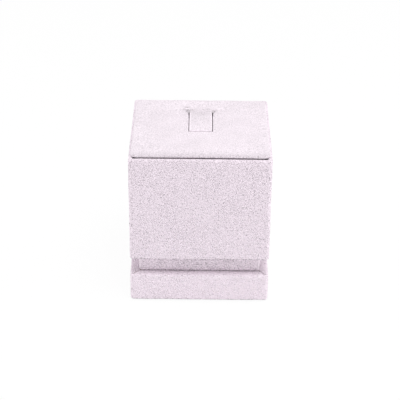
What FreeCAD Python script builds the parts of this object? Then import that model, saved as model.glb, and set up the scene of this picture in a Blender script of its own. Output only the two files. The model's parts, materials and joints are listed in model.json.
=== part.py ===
"""Ring display box: a fabric-covered box on a recessed neck and a plinth, closed by a padded insert
that holds one ring on a flap.

Millimetres, +Z up, front towards -Y, origin at the centre of the underside.
"""
import FreeCAD
import Part
import Sketcher
import math
import operator
import os
from types import SimpleNamespace

Vector = FreeCAD.Vector
Rotation = FreeCAD.Rotation

# Driving sizes in millimetres, each written once
SIZES = {
    # whole object
    "overall_width": 52.0,
    "overall_depth": 52.0,
    "cover_thickness": 0.35,
    "corner_radius": 1.2,
    "edge_radius": 0.6,
    "mitre_gap": 0.3,
    # plinth
    "plinth_height": 11.5,
    "plinth_hem": 8.0,
    "liner_thickness": 0.5,
    "liner_inset": 1.5,
    # neck
    "neck_height": 6.8,
    "neck_inset": 3.2,
    "neck_corner_radius": 1.0,
    # box
    "box_height": 41.7,
    "box_hem": 8.0,
    "wall_thickness": 0.9,
    "floor_thickness": 3.0,
    "post_size": 5.0,
    # padded insert
    "insert_gap": 0.35,
    "insert_proud": 1.2,
    "insert_board_thickness": 1.5,
    "foam_thickness": 3.05,
    "insert_corner_radius": 2.4,
    "insert_edge_radius": 1.3,
    "insert_hem": 6.0,
    "crown_height": 0.3,
    "crown_margin": 0.5,
    # ring flap and the window that it lies in
    "flap_width": 8.6,
    "flap_length": 16.6,
    "flap_root_margin": 11.25,
    "flap_board_thickness": 1.2,
    "flap_edge_radius": 0.35,
    "flap_hem": 2.0,
    "flap_gap": 0.45,
    "hinge_bead_radius": 0.5,
    "hinge_gap": 0.2,
    "window_hem": 2.5,
    # assembly screws
    "screw_length": 16.0,
    "screw_diameter": 3.0,
    "screw_head_diameter": 5.6,
    "screw_point_length": 3.0,
    "screw_spacing": 24.0,
    "screw_recess_length": 3.2,
    "screw_recess_width": 0.8,
    "screw_recess_depth": 0.9,
    "screw_clearance": 0.1,
    # length by which cutting shapes run past the material
    "overrun": 1.0,
}

OPERATIONS = {"+": operator.add, "-": operator.sub, "*": operator.mul, "/": operator.truediv}
EQUAL_LENGTHS = 1e-6
COUNTERSINK_ANGLE = 90.0
FULL_TURN = 360.0


class Size:
    """A length as a number and as the spreadsheet expression that gives it."""

    def __init__(self, value, text):
        self.value = value
        self.text = text

    def __add__(self, other):
        return combine(self, "+", other)

    def __sub__(self, other):
        return combine(self, "-", other)

    def __mul__(self, other):
        return combine(self, "*", other)

    def __rmul__(self, other):
        return combine(other, "*", self)

    def __truediv__(self, other):
        return combine(self, "/", other)

    def root(self):
        return Size(math.sqrt(self.value), f"sqrt({self.text})")


def combine(left, sign, right):
    """The size that an arithmetic sign makes of two sizes or numbers."""
    a, b = (x if isinstance(x, Size) else Size(x, repr(x)) for x in (left, right))
    return Size(OPERATIONS[sign](a.value, b.value), f"({a.text} {sign} {b.text})")


def size_sheet(document):
    """The spreadsheet of driving sizes, and the same sizes by name."""
    table = document.addObject("Spreadsheet::Sheet", "Sizes")
    for row, (name, length) in enumerate(SIZES.items(), start=1):
        table.set(f"A{row}", name)
        table.set(f"B{row}", str(length))
        table.setAlias(f"B{row}", name)
    document.recompute()
    named = {name: Size(length, f"Sizes.{name}") for name, length in SIZES.items()}
    return SimpleNamespace(**named)


doc = FreeCAD.newDocument("RingDisplayBox")
s = size_sheet(doc)

# Covered blocks: the cores under the fabric of the box and the plinth
core_width = s.overall_width - 2 * s.cover_thickness
core_depth = s.overall_depth - 2 * s.cover_thickness
core_corner = s.corner_radius - s.cover_thickness

# Neck between plinth and box
neck_width = s.overall_width - 2 * s.neck_inset
neck_depth = s.overall_depth - 2 * s.neck_inset
neck_core_width = neck_width - 2 * s.cover_thickness
neck_core_depth = neck_depth - 2 * s.cover_thickness
neck_core_corner = s.neck_corner_radius - s.cover_thickness

# Levels above the surface that the box stands on
plinth_core_bottom = s.liner_thickness + s.cover_thickness
plinth_core_top = s.plinth_height - s.cover_thickness
box_bottom = s.plinth_height + s.neck_height
floor_bottom = box_bottom + s.cover_thickness
floor_top = floor_bottom + s.floor_thickness
rim = box_bottom + s.box_height
wall_top = rim - s.cover_thickness

# Inside of the walls, and the mouth left by the cover turned in over the rim
inner_width = core_width - 2 * s.wall_thickness
inner_depth = core_depth - 2 * s.wall_thickness
mouth_width = inner_width - 2 * s.cover_thickness
mouth_depth = inner_depth - 2 * s.cover_thickness

# Padded insert: covered outline, the core under its cover, and its levels
insert_width = mouth_width - 2 * s.insert_gap
insert_depth = mouth_depth - 2 * s.insert_gap
insert_core_width = insert_width - 2 * s.cover_thickness
insert_core_depth = insert_depth - 2 * s.cover_thickness
insert_core_corner = s.insert_corner_radius - s.cover_thickness
insert_top = rim + s.insert_proud
foam_top = insert_top - s.cover_thickness
board_top = foam_top - s.foam_thickness
board_bottom = board_top - s.insert_board_thickness
insert_bottom = board_bottom - s.cover_thickness

# The crown rises on the part of the top that the rounded edges leave level
crown_border = s.insert_edge_radius + s.crown_margin
crown_width = insert_width - 2 * crown_border
crown_depth = insert_depth - 2 * crown_border


def arch_radius(span):
    """The radius of the arch that rises by the crown's height over a span."""
    return (span * span / 4 + s.crown_height * s.crown_height) / (2 * s.crown_height)


# Ring flap: its root lies a margin in from the insert's rear side, level with the crown there
flap_root = insert_depth / 2 - s.flap_root_margin
root_arch = arch_radius(crown_depth)
crown_at_root = (root_arch * root_arch - flap_root * flap_root).root()
flap_top = insert_top - root_arch + crown_at_root
flap_thickness = s.flap_board_thickness + 2 * s.cover_thickness
hinge_level = flap_top - s.hinge_bead_radius
window_width = s.flap_width + 2 * s.flap_gap
window_rear = flap_root + s.hinge_bead_radius + s.hinge_gap
window_length = s.flap_length + s.hinge_bead_radius + s.hinge_gap + s.flap_gap
collar_width = window_width + 2 * s.cover_thickness
collar_rear = window_rear + s.cover_thickness
collar_length = window_length + 2 * s.cover_thickness


def bind(feature, name, length):
    """Ties a property or a sketch constraint to the spreadsheet."""
    feature.setExpression(name, length.text)


def new_body(label, level=None):
    """An empty body whose own bottom plane stands at a level."""
    body = doc.addObject("PartDesign::Body", label)
    body.Label = label
    if level is not None:
        bind(body, "Placement.Base.z", level)
    return body


def origin_plane(body, role):
    return next(f for f in body.Origin.OriginFeatures if f.Role == role)


def new_sketch(body, name, role="XY_Plane", offset=None):
    """A sketch on one of a body's origin planes, or lifted off it along its normal."""
    sketch = body.newObject("Sketcher::SketchObject", f"{body.Name}_{name}")
    sketch.AttachmentSupport = [(origin_plane(body, role), "")]
    sketch.MapMode = "FlatFace"
    if offset is not None:
        bind(sketch, "AttachmentOffset.Base.z", offset)
    return sketch


def dimension(sketch, name, length, kind, *where):
    """A named dimension of a sketch, tied to the spreadsheet."""
    index = sketch.addConstraint(Sketcher.Constraint(kind, *where, length.value))
    sketch.renameConstraint(index, name)
    bind(sketch, f"Constraints.{name}", length)


def add_loop(sketch, points):
    """A closed loop of lines through points; returns the first line's number."""
    first = sketch.GeometryCount
    for start, end in zip(points, points[1:] + points[:1]):
        sketch.addGeometry(Part.LineSegment(start, end))
    count = len(points)
    for i in range(count):
        sketch.addConstraint(Sketcher.Constraint("Coincident", first + i, 2, first + (i + 1) % count, 1))
    return first


def add_rectangle(sketch, name, width, depth, rear=None):
    """A rectangle centred on the sketch's origin, or with its far side at the distance rear."""
    x = width.value / 2
    y = depth.value / 2 if rear is None else rear.value
    low = y - depth.value
    line = add_loop(sketch, [Vector(-x, low), Vector(x, low), Vector(x, y), Vector(-x, y)])
    sketch.addConstraint(Sketcher.Constraint("Horizontal", line + 2))
    for i in (1, 3):
        sketch.addConstraint(Sketcher.Constraint("Vertical", line + i))
    dimension(sketch, f"{name}_width", width, "DistanceX", line, 1, line, 2)
    dimension(sketch, f"{name}_depth", depth, "DistanceY", line + 1, 1, line + 1, 2)
    if rear is None:
        sketch.addConstraint(Sketcher.Constraint("Horizontal", line))
        sketch.addConstraint(Sketcher.Constraint("Symmetric", line, 1, line + 2, 1, -1, 1))
    else:
        sketch.addConstraint(Sketcher.Constraint("Symmetric", line, 1, line, 2, -2))
        dimension(sketch, f"{name}_rear", rear, "DistanceY", -1, 1, line + 2, 1)


def add_rounded_rectangle(sketch, name, width, depth, radius):
    """A rectangle with rounded corners, centred on the sketch's origin."""
    x, y, r = width.value / 2, depth.value / 2, radius.value
    sides = (
        (Vector(r - x, -y), Vector(x - r, -y)),
        (Vector(x, r - y), Vector(x, y - r)),
        (Vector(x - r, y), Vector(r - x, y)),
        (Vector(-x, y - r), Vector(-x, r - y)),
    )
    centres = (Vector(x - r, r - y), Vector(x - r, y - r), Vector(r - x, y - r), Vector(r - x, r - y))
    line = sketch.GeometryCount
    arc = line + len(sides)
    for start, end in sides:
        sketch.addGeometry(Part.LineSegment(start, end))
    for i, centre in enumerate(centres):
        circle = Part.Circle(centre, Vector(0, 0, 1), r)
        start_angle = (i - 1) * math.pi / 2
        sketch.addGeometry(Part.ArcOfCircle(circle, start_angle, start_angle + math.pi / 2))
    for i in range(len(sides)):
        sketch.addConstraint(Sketcher.Constraint("Tangent", line + i, 2, arc + i, 1))
        sketch.addConstraint(Sketcher.Constraint("Tangent", arc + i, 2, line + (i + 1) % len(sides), 1))
    for i in (0, 2):
        sketch.addConstraint(Sketcher.Constraint("Horizontal", line + i))
    for i in (1, 3):
        sketch.addConstraint(Sketcher.Constraint("Vertical", line + i))
    for i in range(len(sides) - 1):
        sketch.addConstraint(Sketcher.Constraint("Equal", arc + i, arc + i + 1))
    sketch.addConstraint(Sketcher.Constraint("Symmetric", arc + 3, 3, arc + 1, 3, -1, 1))
    dimension(sketch, f"{name}_radius", radius, "Radius", arc)
    dimension(sketch, f"{name}_width", width, "DistanceX", line + 3, 1, line + 1, 1)
    dimension(sketch, f"{name}_depth", depth, "DistanceY", line, 1, line + 2, 1)


def add_circles(sketch, diameter, spacing):
    """Two equal circles on the sketch's x axis, one each side of its origin."""
    x = spacing.value / 2
    for side in (-1, 1):
        sketch.addGeometry(Part.Circle(Vector(side * x, 0), Vector(0, 0, 1), diameter.value / 2))
    sketch.addConstraint(Sketcher.Constraint("PointOnObject", 0, 3, -1))
    sketch.addConstraint(Sketcher.Constraint("Equal", 0, 1))
    sketch.addConstraint(Sketcher.Constraint("Symmetric", 0, 3, 1, 3, -1, 1))
    dimension(sketch, "diameter", diameter, "Diameter", 0)
    dimension(sketch, "spacing", spacing, "DistanceX", 0, 3, 1, 3)


def pad(body, sketch, length, midplane=False):
    feature = body.newObject("PartDesign::Pad", f"{sketch.Name}_pad")
    feature.Profile = sketch
    bind(feature, "Length", length)
    feature.Midplane = midplane
    doc.recompute()
    return feature


def removed(body, feature, before):
    """The feature, once it is sure to have taken material off its body."""
    doc.recompute()
    if body.Shape.Volume >= before:
        raise RuntimeError(f"{feature.Name} removes nothing")
    return feature


def pocket_up(body, sketch, depth):
    """Cuts a sketch's outline upwards from the sketch's own plane."""
    before = body.Shape.Volume
    feature = body.newObject("PartDesign::Pocket", f"{sketch.Name}_pocket")
    feature.Profile = sketch
    feature.Reversed = True
    bind(feature, "Length", depth)
    return removed(body, feature, before)


def pocket_down(body, sketch, depth, midplane=False):
    """Cuts a sketch's outline downwards from the sketch's own plane, or to both sides of it."""
    before = body.Shape.Volume
    feature = body.newObject("PartDesign::Pocket", f"{sketch.Name}_pocket")
    feature.Profile = sketch
    feature.Midplane = midplane
    bind(feature, "Length", depth)
    return removed(body, feature, before)


def edge_names(feature, edges):
    """The names that a feature gives to some of its edges."""
    return [
        f"Edge{i}"
        for i, own in enumerate(feature.Shape.Edges, start=1)
        if any(own.isSame(edge) for edge in edges)
    ]


def fillet(body, feature, edges, radius, name):
    rounded = body.newObject("PartDesign::Fillet", f"{body.Name}_{name}")
    rounded.Base = (feature, edge_names(feature, edges))
    bind(rounded, "Radius", radius)
    doc.recompute()
    return rounded


def top_face(feature):
    return max(feature.Shape.Faces, key=lambda face: face.CenterOfMass.z)


def bottom_face(feature):
    return min(feature.Shape.Faces, key=lambda face: face.CenterOfMass.z)


def upright_edges(feature, wanted):
    """The vertical edges whose place passes a test."""
    found = []
    for edge in feature.Shape.Edges:
        start, end = (vertex.Point for vertex in edge.Vertexes[::len(edge.Vertexes) - 1])
        if abs(start.x - end.x) + abs(start.y - end.y) < EQUAL_LENGTHS and wanted(start):
            found.append(edge)
    return found


def covered_block(label, level, width, depth, height, corner):
    """A block with rounded uprights, standing at a level; returns the body and its last feature."""
    body = new_body(label, level)
    outline = new_sketch(body, "outline")
    add_rounded_rectangle(outline, "outline", width, depth, corner)
    return body, pad(body, outline, height)


def screw_holes(body, diameter, depth, level):
    """A pair of round holes for the assembly screws, downwards from a level of the body."""
    circles = new_sketch(body, "holes", offset=level)
    add_circles(circles, diameter, s.screw_spacing)
    return pocket_down(body, circles, depth)


def mitre_slits(body, level, length):
    """Diagonal slits where a cover's turned hems meet at its four corners."""
    before = body.Shape.Volume
    corners = ((1, 1, 225.0), (-1, 1, 315.0), (-1, -1, 45.0), (1, -1, 135.0))
    for number, (side_x, side_y, angle) in enumerate(corners, start=1):
        slit = body.newObject("PartDesign::SubtractiveBox", f"{body.Name}_mitre_{number}")
        slit.AttachmentSupport = [(origin_plane(body, "XY_Plane"), "")]
        slit.MapMode = "FlatFace"
        slit.AttachmentOffset = FreeCAD.Placement(Vector(), Rotation(Vector(0, 0, 1), angle))
        across = math.radians(angle + 90.0)
        half_gap = s.mitre_gap / 2
        bind(slit, "AttachmentOffset.Base.x", core_width * (side_x / 2) - half_gap * math.cos(across))
        bind(slit, "AttachmentOffset.Base.y", core_depth * (side_y / 2) - half_gap * math.sin(across))
        bind(slit, "AttachmentOffset.Base.z", level)
        bind(slit, "Length", length * math.sqrt(2.0))
        bind(slit, "Width", s.mitre_gap)
        bind(slit, "Height", s.cover_thickness + s.overrun)
        doc.recompute()
    return removed(body, slit, before)


# Plinth

def plinth_core():
    """The board block of the plinth, with pilot holes for the screws in its top."""
    height = plinth_core_top - plinth_core_bottom
    body, _ = covered_block(
        "plinth_core", plinth_core_bottom, core_width, core_depth, height, core_corner
    )
    pilot_diameter = s.screw_diameter + 2 * s.screw_clearance
    pilot_bottom = floor_top - s.screw_length - s.screw_clearance
    screw_holes(body, pilot_diameter, plinth_core_top - pilot_bottom, height)
    return body


def plinth_cover():
    """The plinth's fabric: a band round the sides, turned in over the top and under the bottom."""
    height = s.plinth_height - s.liner_thickness
    body, block = covered_block(
        "plinth_cover", s.liner_thickness, s.overall_width, s.overall_depth, height, s.corner_radius
    )
    edges = top_face(block).Edges + bottom_face(block).Edges
    fillet(body, block, edges, s.edge_radius, "edges")
    core = new_sketch(body, "core", offset=s.cover_thickness)
    add_rounded_rectangle(core, "core", core_width, core_depth, core_corner)
    pocket_up(body, core, height - 2 * s.cover_thickness)
    hems = new_sketch(body, "hems")
    add_rectangle(hems, "hems", s.overall_width - 2 * s.plinth_hem, s.overall_depth - 2 * s.plinth_hem)
    pocket_up(body, hems, height + s.overrun)
    mitre_slits(body, height - s.cover_thickness, s.plinth_hem)
    return body


def base_liner():
    """The thin non-slip sheet that the plinth stands on."""
    width = s.overall_width - 2 * s.liner_inset
    depth = s.overall_depth - 2 * s.liner_inset
    body = new_body("base_liner")
    outline = new_sketch(body, "outline")
    add_rounded_rectangle(outline, "outline", width, depth, s.corner_radius)
    pad(body, outline, s.liner_thickness)
    return body


# Neck

def neck_core():
    """The spacer block between plinth and box, bored for the screws."""
    body, _ = covered_block(
        "neck_core", s.plinth_height, neck_core_width, neck_core_depth, s.neck_height, neck_core_corner
    )
    bore = s.screw_diameter + 2 * s.screw_clearance
    screw_holes(body, bore, s.neck_height + s.overrun, s.neck_height)
    return body


def neck_cover():
    """The band of fabric round the neck."""
    body = new_body("neck_cover", s.plinth_height)
    band = new_sketch(body, "band")
    add_rounded_rectangle(band, "outside", neck_width, neck_depth, s.neck_corner_radius)
    add_rounded_rectangle(band, "inside", neck_core_width, neck_core_depth, neck_core_corner)
    pad(body, band, s.neck_height)
    return body


# Box

def box_floor():
    """The floor panel, countersunk for the screws that hold the neck and the plinth."""
    body, _ = covered_block(
        "box_floor", floor_bottom, core_width, core_depth, s.floor_thickness, core_corner
    )
    before = body.Shape.Volume
    centres = new_sketch(body, "holes", offset=s.floor_thickness)
    add_circles(centres, s.screw_diameter, s.screw_spacing)
    doc.recompute()
    hole = body.newObject("PartDesign::Hole", "box_floor_screw_holes")
    hole.Profile = centres
    doc.recompute()
    hole.DepthType = "ThroughAll"
    hole.HoleCutType = "Countersink"
    bind(hole, "Diameter", s.screw_diameter + 2 * s.screw_clearance)
    bind(hole, "HoleCutDiameter", s.screw_head_diameter + 2 * s.screw_clearance)
    hole.HoleCutCountersinkAngle = COUNTERSINK_ANGLE
    removed(body, hole, before)
    return body


def end_wall(label, side):
    """The front or rear wall, across the full width, with rounded outer uprights."""
    body = new_body(label, floor_top)
    outline = new_sketch(body, "outline")
    outer = core_depth / 2
    inner = outer - s.wall_thickness
    rear = outer if side > 0 else inner * -1.0
    add_rectangle(outline, "outline", core_width, s.wall_thickness, rear=rear)
    board = pad(body, outline, wall_top - floor_top)
    edges = upright_edges(board, lambda point: abs(abs(point.y) - outer.value) < EQUAL_LENGTHS)
    fillet(body, board, edges, core_corner, "uprights")
    return body


def side_wall(label, side):
    """The left or right wall, between the front and rear walls."""
    board = doc.addObject("Part::Box", label)
    board.Label = label
    left = inner_width / 2 if side > 0 else core_width * -0.5
    bind(board, "Length", s.wall_thickness)
    bind(board, "Width", inner_depth)
    bind(board, "Height", wall_top - floor_top)
    bind(board, "Placement.Base.x", left)
    bind(board, "Placement.Base.y", inner_depth * -0.5)
    bind(board, "Placement.Base.z", floor_top)
    return board


def corner_post(label, side_x, side_y):
    """A glue block in one inner corner, on which the insert rests."""
    post = doc.addObject("Part::Box", label)
    post.Label = label
    bind(post, "Length", s.post_size)
    bind(post, "Width", s.post_size)
    bind(post, "Height", insert_bottom - floor_top)
    for axis, side, inner in (("x", side_x, inner_width), ("y", side_y, inner_depth)):
        low = inner / 2 - s.post_size if side > 0 else inner * -0.5
        bind(post, f"Placement.Base.{axis}", low)
    bind(post, "Placement.Base.z", floor_top)
    return post


def box_cover():
    """The box's fabric: round the walls, turned in over the rim and under the floor."""
    body, block = covered_block(
        "box_cover", box_bottom, s.overall_width, s.overall_depth, s.box_height, s.corner_radius
    )
    mouth_bottom = insert_bottom - box_bottom
    mouth = new_sketch(body, "mouth", offset=mouth_bottom)
    add_rectangle(mouth, "mouth", mouth_width, mouth_depth)
    block = pocket_up(body, mouth, s.box_height - mouth_bottom + s.overrun)
    edges = top_face(block).Edges + bottom_face(block).Edges
    fillet(body, block, edges, s.edge_radius, "edges")
    inside = new_sketch(body, "inside", offset=s.cover_thickness)
    add_rounded_rectangle(inside, "inside", core_width, core_depth, core_corner)
    pocket_up(body, inside, mouth_bottom - s.cover_thickness)
    walls = new_sketch(body, "walls", offset=mouth_bottom)
    add_rounded_rectangle(walls, "outside", core_width, core_depth, core_corner)
    add_rectangle(walls, "inside", inner_width, inner_depth)
    pocket_up(body, walls, s.box_height - mouth_bottom - s.cover_thickness)
    hems = new_sketch(body, "hems")
    add_rectangle(hems, "hems", s.overall_width - 2 * s.box_hem, s.overall_depth - 2 * s.box_hem)
    pocket_up(body, hems, s.cover_thickness + s.overrun)
    mitre_slits(body, s.overrun * -1.0, s.box_hem)
    return body


# Padded insert

def add_arch(sketch, span, level, edge):
    """An arch that springs from a level, closed by straight sides to an edge above or below it."""
    x, radius = span.value / 2, arch_radius(span)
    centre = level.value + s.crown_height.value - radius.value
    start = math.acos(x / radius.value)
    circle = Part.Circle(Vector(0, centre), Vector(0, 0, 1), radius.value)
    sketch.addGeometry(Part.ArcOfCircle(circle, start, math.pi - start))
    corners = [
        Vector(-x, level.value), Vector(-x, edge.value), Vector(x, edge.value), Vector(x, level.value),
    ]
    for first, last in zip(corners, corners[1:]):
        sketch.addGeometry(Part.LineSegment(first, last))
    arch, left, flat, right = range(4)
    for before, after in ((arch, left), (left, flat), (flat, right), (right, arch)):
        sketch.addConstraint(Sketcher.Constraint("Coincident", before, 2, after, 1))
    sketch.addConstraint(Sketcher.Constraint("PointOnObject", arch, 3, -2))
    sketch.addConstraint(Sketcher.Constraint("Horizontal", arch, 1, arch, 2))
    sketch.addConstraint(Sketcher.Constraint("Horizontal", flat))
    for side in (left, right):
        sketch.addConstraint(Sketcher.Constraint("Vertical", side))
    dimension(sketch, "span", span, "DistanceX", flat, 1, flat, 2)
    dimension(sketch, "radius", radius, "Radius", arch)
    dimension(sketch, "level", level, "DistanceY", -1, 1, arch, 1)
    dimension(sketch, "edge", edge, "DistanceY", -1, 1, flat, 1)


def crown(body, level):
    """A crown arched both ways, on a block whose top is at that level and sunk in it a little."""
    across = new_sketch(body, "crown_across", "XZ_Plane")
    add_arch(across, crown_width, level, level - s.cover_thickness)
    pad(body, across, crown_depth, midplane=True)
    along = new_sketch(body, "crown_along", "YZ_Plane")
    add_arch(along, crown_depth, level, level + s.crown_height + s.overrun)
    return pocket_down(body, along, crown_width + 2 * s.overrun, midplane=True)


def crowned_block(label, level, width, depth, height, corner, edge):
    """A pad with rounded upper edges and a crown; returns the body and its last feature."""
    shoulder = height - s.crown_height
    body, block = covered_block(label, level, width, depth, shoulder, corner)
    fillet(body, block, top_face(block).Edges, edge, "edges")
    return body, crown(body, shoulder)


def window(body, width, length, rear, level, depth):
    """The opening through which the ring flap lies, cut upwards from a level of the body."""
    opening = new_sketch(body, "window", offset=level)
    add_rectangle(opening, "window", width, length, rear=rear)
    return pocket_up(body, opening, depth)


def insert_board():
    """The stiff board of the insert."""
    body, _ = covered_block(
        "insert_board", board_bottom, insert_core_width, insert_core_depth,
        s.insert_board_thickness, insert_core_corner,
    )
    depth = s.insert_board_thickness + 2 * s.overrun
    window(body, collar_width, collar_length, collar_rear, s.overrun * -1.0, depth)
    return body


def insert_foam():
    """The foam that gives the insert its crown."""
    body, _ = crowned_block(
        "insert_foam", board_top, insert_core_width, insert_core_depth, s.foam_thickness,
        insert_core_corner, s.insert_edge_radius - s.cover_thickness,
    )
    depth = s.foam_thickness + 2 * s.overrun
    window(body, collar_width, collar_length, collar_rear, s.overrun * -1.0, depth)
    return body


def insert_cover(board, foam):
    """The insert's fabric: over the foam, down the window's sides and turned under the board."""
    height = insert_top - insert_bottom
    body, _ = crowned_block(
        "insert_cover_blank", insert_bottom, insert_width, insert_depth, height,
        s.insert_corner_radius, s.insert_edge_radius,
    )
    window(body, window_width, window_length, window_rear, s.overrun * -1.0, height + 2 * s.overrun)
    hems = new_sketch(body, "hems")
    add_rectangle(hems, "outside", insert_width - 2 * s.insert_hem, insert_depth - 2 * s.insert_hem)
    add_rectangle(
        hems, "inside", window_width + 2 * s.window_hem, window_length + 2 * s.window_hem,
        rear=window_rear + s.window_hem,
    )
    pocket_up(body, hems, s.cover_thickness)
    core = doc.addObject("Part::Fuse", "insert_core")
    core.Base, core.Tool = board, foam
    cover = doc.addObject("Part::Cut", "insert_cover")
    cover.Label = "insert_cover"
    cover.Base, cover.Tool = body, core
    return cover


# Ring flap

def flap_board():
    """The stiff tongue inside the flap."""
    body = new_body("flap_board", flap_top - s.cover_thickness - s.flap_board_thickness)
    outline = new_sketch(body, "outline")
    add_rectangle(
        outline, "outline", s.flap_width - 2 * s.cover_thickness, s.flap_length - 2 * s.cover_thickness,
        rear=flap_root - s.cover_thickness,
    )
    pad(body, outline, s.flap_board_thickness)
    return body


def free_edges(block, tip):
    """The edges round a flap's free end, and those along its sides at top and bottom."""
    def across(edge):
        return abs(edge.Vertexes[0].X - edge.Vertexes[-1].X) > EQUAL_LENGTHS

    def at_tip(edge):
        return max(vertex.Y for vertex in edge.Vertexes) < tip + EQUAL_LENGTHS

    levels = top_face(block).Edges + bottom_face(block).Edges
    along = [edge for edge in levels if not across(edge)]
    return along + [edge for edge in block.Shape.Edges if at_tip(edge)]


def flap_cover(board):
    """The flap's fabric, with the round bead at its root about which it folds up."""
    body = new_body("flap_cover_blank", flap_top - flap_thickness)
    profile = new_sketch(body, "profile", "YZ_Plane")
    root, tip = flap_root.value, flap_root.value - s.flap_length.value
    top, bead = flap_thickness.value, s.hinge_bead_radius.value
    under_bead = top - 2 * bead
    corners = [
        Vector(root, under_bead), Vector(root, 0), Vector(tip, 0), Vector(tip, top), Vector(root, top),
    ]
    for start, stop in zip(corners, corners[1:]):
        profile.addGeometry(Part.LineSegment(start, stop))
    circle = Part.Circle(Vector(root, top - bead), Vector(0, 0, 1), bead)
    profile.addGeometry(Part.ArcOfCircle(circle, -math.pi / 2, math.pi / 2))
    back, under, end, upper, round_bead = range(5)
    for joint in ((back, 2, under, 1), (under, 2, end, 1), (end, 2, upper, 1), (round_bead, 1, back, 1)):
        profile.addConstraint(Sketcher.Constraint("Coincident", *joint))
    profile.addConstraint(Sketcher.Constraint("Tangent", upper, 2, round_bead, 2))
    profile.addConstraint(Sketcher.Constraint("PointOnObject", under, 1, -1))
    profile.addConstraint(Sketcher.Constraint("Horizontal", under))
    profile.addConstraint(Sketcher.Constraint("Vertical", back))
    profile.addConstraint(Sketcher.Constraint("Vertical", end))
    profile.addConstraint(Sketcher.Constraint("Horizontal", upper))
    profile.addConstraint(Sketcher.Constraint("Vertical", round_bead, 1, round_bead, 2))
    dimension(profile, "root", flap_root, "DistanceX", -1, 1, back, 2)
    dimension(profile, "length", s.flap_length, "DistanceX", under, 2, under, 1)
    dimension(profile, "thickness", flap_thickness, "DistanceY", end, 1, end, 2)
    dimension(profile, "bead", s.hinge_bead_radius, "Radius", round_bead)
    block = pad(body, profile, s.flap_width, midplane=True)
    fillet(body, block, free_edges(block, tip), s.flap_edge_radius, "free_edges")
    hems = new_sketch(body, "hems")
    add_rectangle(
        hems, "hems", s.flap_width - 2 * s.flap_hem, s.flap_length - 2 * s.flap_hem,
        rear=flap_root - s.flap_hem,
    )
    pocket_up(body, hems, s.cover_thickness)
    cover = doc.addObject("Part::Cut", "flap_cover")
    cover.Label = "flap_cover"
    cover.Base, cover.Tool = body, board
    return cover


# Fasteners

def assembly_screw(name, side):
    """A countersunk screw, driven down through floor and neck into the plinth."""
    body = new_body(name, floor_top - s.screw_length)
    bind(body, "Placement.Base.x", s.screw_spacing * (side / 2))
    shank, head = s.screw_diameter / 2, s.screw_head_diameter / 2
    cone_bottom = s.screw_length - (head - shank)
    profile = new_sketch(body, "profile", "XZ_Plane")
    corners = [
        Vector(0, 0),
        Vector(shank.value, s.screw_point_length.value),
        Vector(shank.value, cone_bottom.value),
        Vector(head.value, s.screw_length.value),
        Vector(0, s.screw_length.value),
    ]
    point, side_line, cone, face, axis = range(add_loop(profile, corners), len(corners))
    profile.addConstraint(Sketcher.Constraint("Coincident", point, 1, -1, 1))
    profile.addConstraint(Sketcher.Constraint("Vertical", side_line))
    profile.addConstraint(Sketcher.Constraint("Horizontal", face))
    profile.addConstraint(Sketcher.Constraint("Vertical", axis))
    dimension(profile, "shank", shank, "DistanceX", -1, 1, side_line, 1)
    dimension(profile, "point", s.screw_point_length, "DistanceY", -1, 1, side_line, 1)
    dimension(profile, "cone", cone_bottom, "DistanceY", -1, 1, cone, 1)
    dimension(profile, "head", head, "DistanceX", -1, 1, cone, 2)
    dimension(profile, "length", s.screw_length, "DistanceY", -1, 1, cone, 2)
    turned = body.newObject("PartDesign::Revolution", f"{name}_turned")
    turned.Profile = profile
    turned.ReferenceAxis = (profile, ["V_Axis"])
    turned.Angle = FULL_TURN
    doc.recompute()
    for number, (width, depth) in enumerate((
        (s.screw_recess_length, s.screw_recess_width),
        (s.screw_recess_width, s.screw_recess_length),
    )):
        slot = new_sketch(body, f"recess_{number}", offset=s.screw_length)
        add_rectangle(slot, "recess", width, depth)
        pocket_down(body, slot, s.screw_recess_depth)
    return body


def assembly_screws():
    """The pair of screws as one group."""
    group = doc.addObject("Part::Compound", "assembly_screws")
    group.Label = "assembly_screws"
    group.Links = [assembly_screw("screw_left", -1), assembly_screw("screw_right", 1)]
    return group


def build():
    """All the sub-parts, each as one object of the document."""
    board, foam, tongue = insert_board(), insert_foam(), flap_board()
    pieces = [
        plinth_core(), plinth_cover(), base_liner(),
        neck_core(), neck_cover(),
        box_floor(), end_wall("box_front_wall", -1), end_wall("box_rear_wall", 1),
        side_wall("box_left_wall", -1), side_wall("box_right_wall", 1), box_cover(),
        assembly_screws(),
        board, foam, insert_cover(board, foam),
        tongue, flap_cover(tongue),
    ]
    for end, side_y in (("front", -1), ("rear", 1)):
        for hand, side_x in (("left", -1), ("right", 1)):
            pieces.append(corner_post(f"corner_post_{end}_{hand}", side_x, side_y))
    doc.recompute()
    return pieces


def check(pieces):
    """Stops unless every object was computed and every sub-part is a valid solid."""
    for item in doc.Objects:
        if {"Invalid", "Error"} & set(item.State):
            raise RuntimeError(f"{item.Name} failed: {item.State}")
    for piece in pieces:
        if piece.Shape.isNull() or not piece.Shape.isValid() or not piece.Shape.Solids:
            raise RuntimeError(f"{piece.Label} is not a valid solid")


def write(pieces):
    os.makedirs("parts", exist_ok=True)
    for piece in pieces:
        piece.Shape.exportStep(os.path.join("parts", f"{piece.Label}.step"))


parts = build()
check(parts)
write(parts)
print(f"{len(parts)} sub-parts; hinge at y {flap_root.value:.3f}, z {hinge_level.value:.3f}")
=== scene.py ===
"""Dresses a ring display box: its fabric covers, its padded insert with the ring flap, and a stage."""
import json
import math
from collections import namedtuple

import bmesh
import bpy
from bpy.props import FloatProperty, FloatVectorProperty, IntProperty, PointerProperty
from mathutils import Color, Matrix, Vector, noise


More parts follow.
